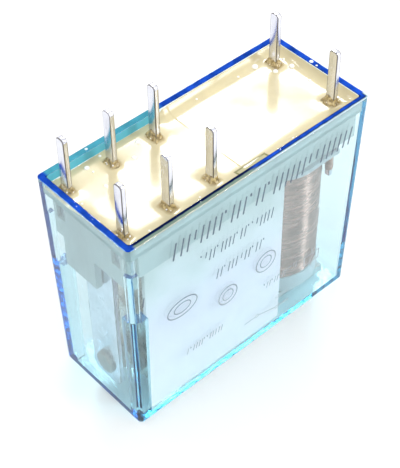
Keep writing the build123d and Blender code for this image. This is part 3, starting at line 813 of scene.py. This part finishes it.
def build_spring_leaf(material):
    """The contact spring as a leaf, cut into bands across its height."""
    low, high = span("contact_spring")
    bm = welded_copy("contact_spring")
    bends = 18
    for k in range(1, bends):
        z = low.z + (high.z - low.z) * k / bends
        bmesh.ops.bisect_plane(bm, geom=bm.verts[:] + bm.edges[:] + bm.faces[:], dist=1e-7,
                               plane_co=(0, 0, z), plane_no=(0, 0, 1))
    split_large_faces(bm)
    mesh = made_mesh(bm, "spring_leaf")
    leaf = bpy.data.objects.new("spring_leaf", mesh)
    bpy.context.scene.collection.objects.link(leaf)
    mesh.materials.append(material)
    mesh.set_sharp_from_angle(angle=SHADED_ANGLE)
    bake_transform(leaf)
    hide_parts("contact_spring")


# ---------------------------------------------------------------- printed marks

def ink_finish(look):
    """Pad-printed ink, thin enough to break up a little."""
    f = Finish("pad_ink")
    wear_and_edge_shade = f.times(f.part("Z"), f.varied(600.0, -2.5 * MM, 2.5 * MM), "ADD")
    faint = tuple(0.5 * c + 0.42 for c in look.ink)
    f.colour(f.ramp(f.levels(wear_and_edge_shade, 4.0 * MM, 22.0 * MM), [(0.0, faint), (0.75, tuple(look.ink))]))
    f.roughness(f.varied(5200.0, 0.45, 0.7))
    f.relief(f.mottle(8000.0), 0.003 * MM)
    return f.material


def wall_front(z):
    """Y of the cover's front face at a height."""
    return COVER_LOW.y + DRAFT * (COVER_HIGH.z - z) / (COVER_HIGH.z - COVER_LOW.z)


class MarkSheet:
    """Marks printed on the front face, drawn in millimetres along X and Z."""

    def __init__(self, thickness):
        self.bm = bmesh.new()
        self.thickness = thickness

    def corner(self, x, z, raised):
        """A vertex on the face, or on the ink's surface where raised."""
        y = wall_front(z * MM) - 0.001 * MM
        return self.bm.verts.new((x * MM, y - (self.thickness if raised else 0.0), z * MM))

    def patch(self, points):
        """One closed outline, printed solid."""
        low = [self.corner(x, z, False) for x, z in points]
        high = [self.corner(x, z, True) for x, z in points]
        count = len(points)
        self.bm.faces.new(high)
        self.bm.faces.new(list(reversed(low)))
        for k in range(count):
            n = (k + 1) % count
            self.bm.faces.new((low[k], low[n], high[n], high[k]))

    def stroke(self, a, b, width):
        """A straight stroke with round ends."""
        a, b = Vector(a), Vector(b)
        along = (b - a).normalized()
        side = Vector((-along.y, along.x))
        points = []
        per_end = 6
        for centre, turn in ((b, 0), (a, math.pi)):
            for k in range(per_end + 1):
                angle = turn - math.pi / 2 + math.pi * k / per_end
                points.append(centre + width / 2 * (along * math.cos(angle) + side * math.sin(angle)))
        self.patch([(p.x, p.y) for p in points])

    def ring(self, centre, rx, rz, width, count=40):
        """An oval ring of short quads."""
        for k in range(count):
            quad = []
            for turn, grow in ((k, 0), (k + 1, 0), (k + 1, 1), (k, 1)):
                angle = 2 * math.pi * turn / count
                quad.append((centre[0] + (rx + grow * width) * math.cos(angle),
                             centre[1] + (rz + grow * width) * math.sin(angle)))
            self.patch(quad)

    def finish(self, name, material):
        """Shows the marks as one piece."""
        mesh = made_mesh(self.bm, name, outward=True)
        place_piece(name, mesh, "housing", material, smooth=False)


def greeked_line(sheet, rng, x0, x1, z, height, width, advance):
    """A line of placeholder marks: slanted strokes and dots with no lettering in them."""
    x = x0
    lean = 0.22 * advance
    while x < x1:
        kind = rng.choice(("pair", "pair", "one", "short", "dot"))
        if kind == "dot":
            sheet.stroke((x, z), (x + 0.02, z - width), width * 1.2)
            x += 0.5 * advance
            continue
        low = 0.5 * height if kind == "short" else 0.0
        for shift in (0.0, 0.5 * advance)[: 2 if kind == "pair" else 1]:
            sheet.stroke((x + shift + lean, z), (x + shift + lean * low / height, z - height + low), width)
        x += advance * (1.0 if kind == "pair" else 0.6)


# Placeholder lines: first and last X, top, height, stroke width and advance, in millimetres
LINES = ((-9.6, 12.0, 22.4, 1.9, 0.19, 1.45), (-6.4, 2.0, 18.6, 1.2, 0.12, 0.95),
         (-4.4, 1.6, 15.2, 1.1, 0.12, 0.95), (-8.0, -4.0, 6.6, 0.7, 0.12, 0.7),
         (2.0, 6.6, 8.2, 0.7, 0.12, 0.7))
# Double rings: centre and the outer ring's half width and half height
DOUBLE_RINGS = (((-8.6, 13.4), 1.7, 1.05), ((-2.9, 10.6), 1.1, 1.1), ((2.0, 11.6), 1.2, 1.2))
# Diagram of a coil and a changeover contact, about the coil's centre
DIAGRAM_X, DIAGRAM_Z = 8.6, 7.2
COIL_BOX = ((-1.0, -0.6), (1.0, -0.6), (1.0, 0.6), (-1.0, 0.6))
COIL_LINES = (((-0.35, -0.6), (0.35, 0.6)), ((0.0, 0.6), (0.0, 1.3)), ((0.0, -0.6), (0.0, -1.3)))
CONTACT_POINTS = ((-4.6, -2.4), (-4.6, -4.0), (-7.4, -3.2))
CONTACT_LINES = (((-7.2, -3.2), (-4.9, -3.9)), ((-4.35, -2.4), (-3.0, -2.4)), ((-4.35, -4.0), (-3.0, -4.0)),
                 ((-7.65, -3.2), (-9.0, -3.2)))
LINE_WIDTH = 0.12


def build_marks(look):
    """Printed marks: placeholder lines, plain rings and a coil and contact diagram."""
    rng = random.Random(7)
    sheet = MarkSheet(look.ink_thickness)
    for line in LINES:
        greeked_line(sheet, rng, *line)
    for centre, rx, rz in DOUBLE_RINGS:
        sheet.ring(centre, rx, rz, 0.13)
        sheet.ring(centre, rx * 0.55, rz * 0.55, 0.11)
    sheet.stroke((-13.0, 18.2), (-13.15, 17.1), LINE_WIDTH)

    def diagram_place(at):
        return DIAGRAM_X + at[0], DIAGRAM_Z + at[1]

    for a, b in (*zip(COIL_BOX, COIL_BOX[1:] + COIL_BOX[:1]), *COIL_LINES):
        sheet.stroke(diagram_place(a), diagram_place(b), LINE_WIDTH)
    for at in CONTACT_POINTS:
        sheet.ring(diagram_place(at), 0.16, 0.16, 0.09, 20)
    for a, b in CONTACT_LINES:
        sheet.stroke(diagram_place(a), diagram_place(b), LINE_WIDTH)
    sheet.finish("printed_marks", ink_finish(look))


# ---------------------------------------------------------------- stage

CAMERA_AZIMUTH, CAMERA_HEIGHT, CAMERA_ROLL = -41.85, 46.58, -0.60
CAMERA_REACH, CAMERA_LENS = 121.95 * MM, 97.81
CAMERA_AIM = Vector((-0.764, 0.308, 12.5)) * MM


def view_axes():
    """Right, up and back of the camera."""
    a, e, r = (math.radians(v) for v in (CAMERA_AZIMUTH, CAMERA_HEIGHT, CAMERA_ROLL))
    back = Vector((math.sin(a) * math.cos(e), -math.cos(a) * math.cos(e), math.sin(e)))
    right = Vector((0, 0, 1)).cross(back).normalized()
    up = back.cross(right)
    return (right * math.cos(r) + up * math.sin(r), up * math.cos(r) - right * math.sin(r), back)


def add_camera():
    """The camera, at the angle that shows the pin side, the long front and the contact end."""
    right, up, back = view_axes()
    data = bpy.data.cameras.new("camera")
    data.lens = CAMERA_LENS
    data.sensor_width = 36.0
    data.clip_start = 0.005
    camera = bpy.data.objects.new("camera", data)
    turn = Matrix((right, up, back)).transposed().to_4x4()
    camera.matrix_world = Matrix.Translation(CAMERA_AIM + back * CAMERA_REACH) @ turn
    bpy.context.scene.collection.objects.link(camera)
    bpy.context.scene.camera = camera


def add_softbox(name, towards, distance, size, power, along=Vector((0, 0, 1))):
    """An area light that faces the relay, its first side lying along a direction."""
    data = bpy.data.lights.new(name, "AREA")
    data.shape = "RECTANGLE"
    data.size, data.size_y = size
    data.energy = power
    light = bpy.data.objects.new(name, data)
    towards = Vector(towards).normalized()
    first = (along - towards * along.dot(towards)).normalized()
    turn = Matrix((first, towards.cross(first), towards)).transposed().to_4x4()
    light.matrix_world = Matrix.Translation(Vector((0, 0, RESIN_HIGH.z)) + towards * distance) @ turn
    bpy.context.scene.collection.objects.link(light)


def floor_finish(look):
    """Plain pale board with a faint tooth."""
    f = Finish("pale_board")
    dark, light = shades(tuple(look.floor), 0.02)
    f.colour(f.tones(f.mottle(9.0, 3.0), dark, light))
    f.roughness(f.varied(300.0, 0.5, 0.65))
    return f.material


# Brightness of the light from all round, from the dimmest direction to the brightest
SKY_STEPS = ((0.10, 0.74), (0.38, 0.88), (0.62, 1.0), (0.9, 1.08))
# Softboxes round the front: name, direction, size in metres and power as a multiple of the one behind
SIDE_BOXES = (("softbox_left", (-1.0, 0.25, 0.8), (0.30, 0.30), 1.5),
              ("softbox_front", (0.55, -0.85, 0.62), (0.34, 0.07), 3.4),
              ("softbox_near", (-0.5, -1.0, 0.7), (0.25, 0.25), 1.8))


def build_stage(look):
    """Floor, light and camera."""
    scene = bpy.context.scene
    scene.view_settings.view_transform = "Standard"
    scene.cycles.max_bounces = 56
    scene.cycles.glossy_bounces = 40
    scene.cycles.transmission_bounces = 48
    scene.cycles.transparent_max_bounces = 24
    bm = bmesh.new()
    bmesh.ops.create_grid(bm, x_segments=24, y_segments=24, size=0.8)
    for v in bm.verts:
        v.co.z = -0.02 * MM
    mesh = made_mesh(bm, "floor")
    floor = bpy.data.objects.new("floor", mesh)
    mesh.materials.append(floor_finish(look))
    scene.collection.objects.link(floor)

    world = bpy.data.worlds.new("studio")
    scene.world = world
    world.use_nodes = True
    nodes, links = world.node_tree.nodes, world.node_tree.links
    # The light from all round is brightest above and behind the relay
    coord = nodes.new("ShaderNodeTexCoord")
    facing = nodes.new("ShaderNodeVectorMath")
    facing.operation = "DOT_PRODUCT"
    facing.inputs[1].default_value = (0.62, 0.60, 0.50)
    links.new(coord.outputs["Generated"], facing.inputs[0])
    spread = nodes.new("ShaderNodeMapRange")
    spread.inputs["From Min"].default_value = -1.0
    links.new(facing.outputs["Value"], spread.inputs["Value"])
    ramp = nodes.new("ShaderNodeValToRGB")
    links.new(spread.outputs["Result"], ramp.inputs["Fac"])
    steps = ramp.color_ramp.elements
    for _ in range(len(SKY_STEPS) - len(steps)):
        steps.new(0.5)
    for step, (position, shade) in zip(steps, SKY_STEPS):
        step.position = position
        step.color = (shade, shade, shade * 1.01, 1)
    back = nodes["Background"]
    links.new(ramp.outputs["Color"], back.inputs["Color"])
    back.inputs["Strength"].default_value = look.sky

    # The one behind stands where the resin mirrors it to the camera
    back_x, back_y, back_z = view_axes()[2]
    add_softbox("softbox_behind", (-back_x, -back_y, back_z), 0.30, (0.084, 0.044), look.softbox,
                along=Vector((1, 0, 0)))
    for name, towards, size, gain in SIDE_BOXES:
        add_softbox(name, towards, 0.5, size, look.softbox * gain)
    add_camera()


# ---------------------------------------------------------------- operators

class RELAY_OT_cover(bpy.types.Operator):
    """Clear tinted cover and the light in its cut edge"""
    bl_idname = "relay.cover"
    bl_label = "Cover"

    def execute(self, context):
        look = context.scene.relay_cover
        dress("cover", clear_cover_finish(look))
        build_rim_edge(look)
        return {"FINISHED"}


class RELAY_OT_resin(bpy.types.Operator):
    """Poured resin with its climb on the pins, and its bubbles"""
    bl_idname = "relay.resin"
    bl_label = "Resin"

    def execute(self, context):
        look = context.scene.relay_resin
        pins = build_resin(look)
        build_collars(look, pins)
        build_bubbles(look, pins)
        return {"FINISHED"}


class RELAY_OT_base(bpy.types.Operator):
    """Insulating base under the resin"""
    bl_idname = "relay.base"
    bl_label = "Base"

    def execute(self, context):
        dress("base_header", moulded_finish("base_moulding", (0.47, 0.53, 0.52), 0.10, 0.5))
        return {"FINISHED"}


class RELAY_OT_terminals(bpy.types.Operator):
    """Tinned terminals and coil pins, with eased edges in a dark painted shade line"""
    bl_idname = "relay.terminals"
    bl_label = "Terminals"

    def execute(self, context):
        tin = metal_finish("tinned_strip", (0.70, 0.71, 0.78), 0.20, spread=0.14)
        # The dark metal on the eased edges is painted shade, a dark line along each edge.
        wear_and_edge_shade = metal_finish("tinned_edge", (0.16, 0.15, 0.15), 0.34, spread=0.3)
        for node in PIN_NODES:
            eased_copy(node, f"{node}_tinned", "housing", tin, 0.075 * MM, edge=wear_and_edge_shade)
        return {"FINISHED"}


class RELAY_OT_coil(bpy.types.Operator):
    """Winding, leads and bobbin"""
    bl_idname = "relay.coil"
    bl_label = "Coil"

    def execute(self, context):
        look = context.scene.relay_coil
        build_winding(look)
        for node in ("coil_lead_front", "coil_lead_back"):
            build_lead(node)
        dress("bobbin", moulded_finish("bobbin_moulding", (0.46, 0.50, 0.52), 0.08, 0.4))
        return {"FINISHED"}


class RELAY_OT_iron(bpy.types.Operator):
    """Core, yoke, armature and the armature's clip"""
    bl_idname = "relay.iron"
    bl_label = "Iron parts"

    def execute(self, context):
        iron = metal_finish("plated_iron", (0.56, 0.56, 0.55), 0.34, (1.0, 1.0, 0.2), 0.12)
        clip = metal_finish("spring_steel", (0.66, 0.65, 0.62), 0.24, (0.2, 1.0, 1.0), 0.06)
        dress("core", iron)
        eased_copy("yoke", "yoke_plated", "housing", iron, 0.06 * MM)
        eased_copy("armature", "armature_plated", "armature", iron, 0.06 * MM)
        for node in ("armature_clip", "clip_rivets", "spring_rivets"):
            dress(node, clip)
        return {"FINISHED"}


class RELAY_OT_contacts(bpy.types.Operator):
    """Contact spring and the three contacts"""
    bl_idname = "relay.contacts"
    bl_label = "Contacts"

    def execute(self, context):
        silver = metal_finish("contact_silver", (0.29, 0.25, 0.22), 0.36, (1.0, 1.0, 1.0), 0.16)
        for node in ("no_contact", "nc_contact", "moving_contact"):
            dress(node, silver)
        build_spring_leaf(metal_finish("spring_bronze", (0.60, 0.54, 0.47), 0.26, (1.0, 1.0, 0.06)))
        return {"FINISHED"}


class RELAY_OT_mouldings(bpy.types.Operator):
    """Sliding card and contact barrier"""
    bl_idname = "relay.mouldings"
    bl_label = "Card and barrier"

    def execute(self, context):
        card = moulded_finish("card_moulding", (0.82, 0.80, 0.72), 0.05, 0.38)
        eased_copy("actuator_card", "card_moulded", "card", card, 0.05 * MM)
        dress("contact_barrier", barrier_finish())
        return {"FINISHED"}


class RELAY_OT_marks(bpy.types.Operator):
    """Printed marks on the front of the cover"""
    bl_idname = "relay.marks"
    bl_label = "Printed marks"

    def execute(self, context):
        build_marks(context.scene.relay_marks)
        return {"FINISHED"}


class RELAY_OT_stage(bpy.types.Operator):
    """Floor, lights and camera"""
    bl_idname = "relay.stage"
    bl_label = "Stage"

    def execute(self, context):
        build_stage(context.scene.relay_stage)
        return {"FINISHED"}


STEPS = (RELAY_OT_cover, RELAY_OT_resin, RELAY_OT_base, RELAY_OT_terminals, RELAY_OT_coil, RELAY_OT_iron,
         RELAY_OT_contacts, RELAY_OT_mouldings, RELAY_OT_marks, RELAY_OT_stage)
LOOKS = {"relay_cover": CoverLook, "relay_resin": ResinLook, "relay_coil": CoilLook,
         "relay_marks": MarkLook, "relay_stage": StageLook}


class RELAY_PT_sidebar(bpy.types.Panel):
    """Lists the relay's settings and the steps that build it"""
    bl_label = "Plug-in Relay"
    bl_space_type = "VIEW_3D"
    bl_region_type = "UI"
    bl_category = "Relay"

    def draw(self, context):
        layout = self.layout
        for name, look in LOOKS.items():
            box = layout.box()
            for setting in look.__annotations__:
                box.prop(getattr(context.scene, name), setting)
        for step in STEPS:
            layout.operator(step.bl_idname)


def register():
    for name, look in LOOKS.items():
        bpy.utils.register_class(look)
        setattr(bpy.types.Scene, name, bpy.props.PointerProperty(type=look))
    for step in (*STEPS, RELAY_PT_sidebar):
        bpy.utils.register_class(step)


def unregister():
    for step in reversed((*STEPS, RELAY_PT_sidebar)):
        bpy.utils.unregister_class(step)
    for name, look in LOOKS.items():
        delattr(bpy.types.Scene, name)
        bpy.utils.unregister_class(look)


def main():
    register()
    for step in STEPS:
        group, name = step.bl_idname.split(".")
        getattr(getattr(bpy.ops, group), name)()
    bpy.context.view_layer.update()


if __name__ == "__main__":
    main()
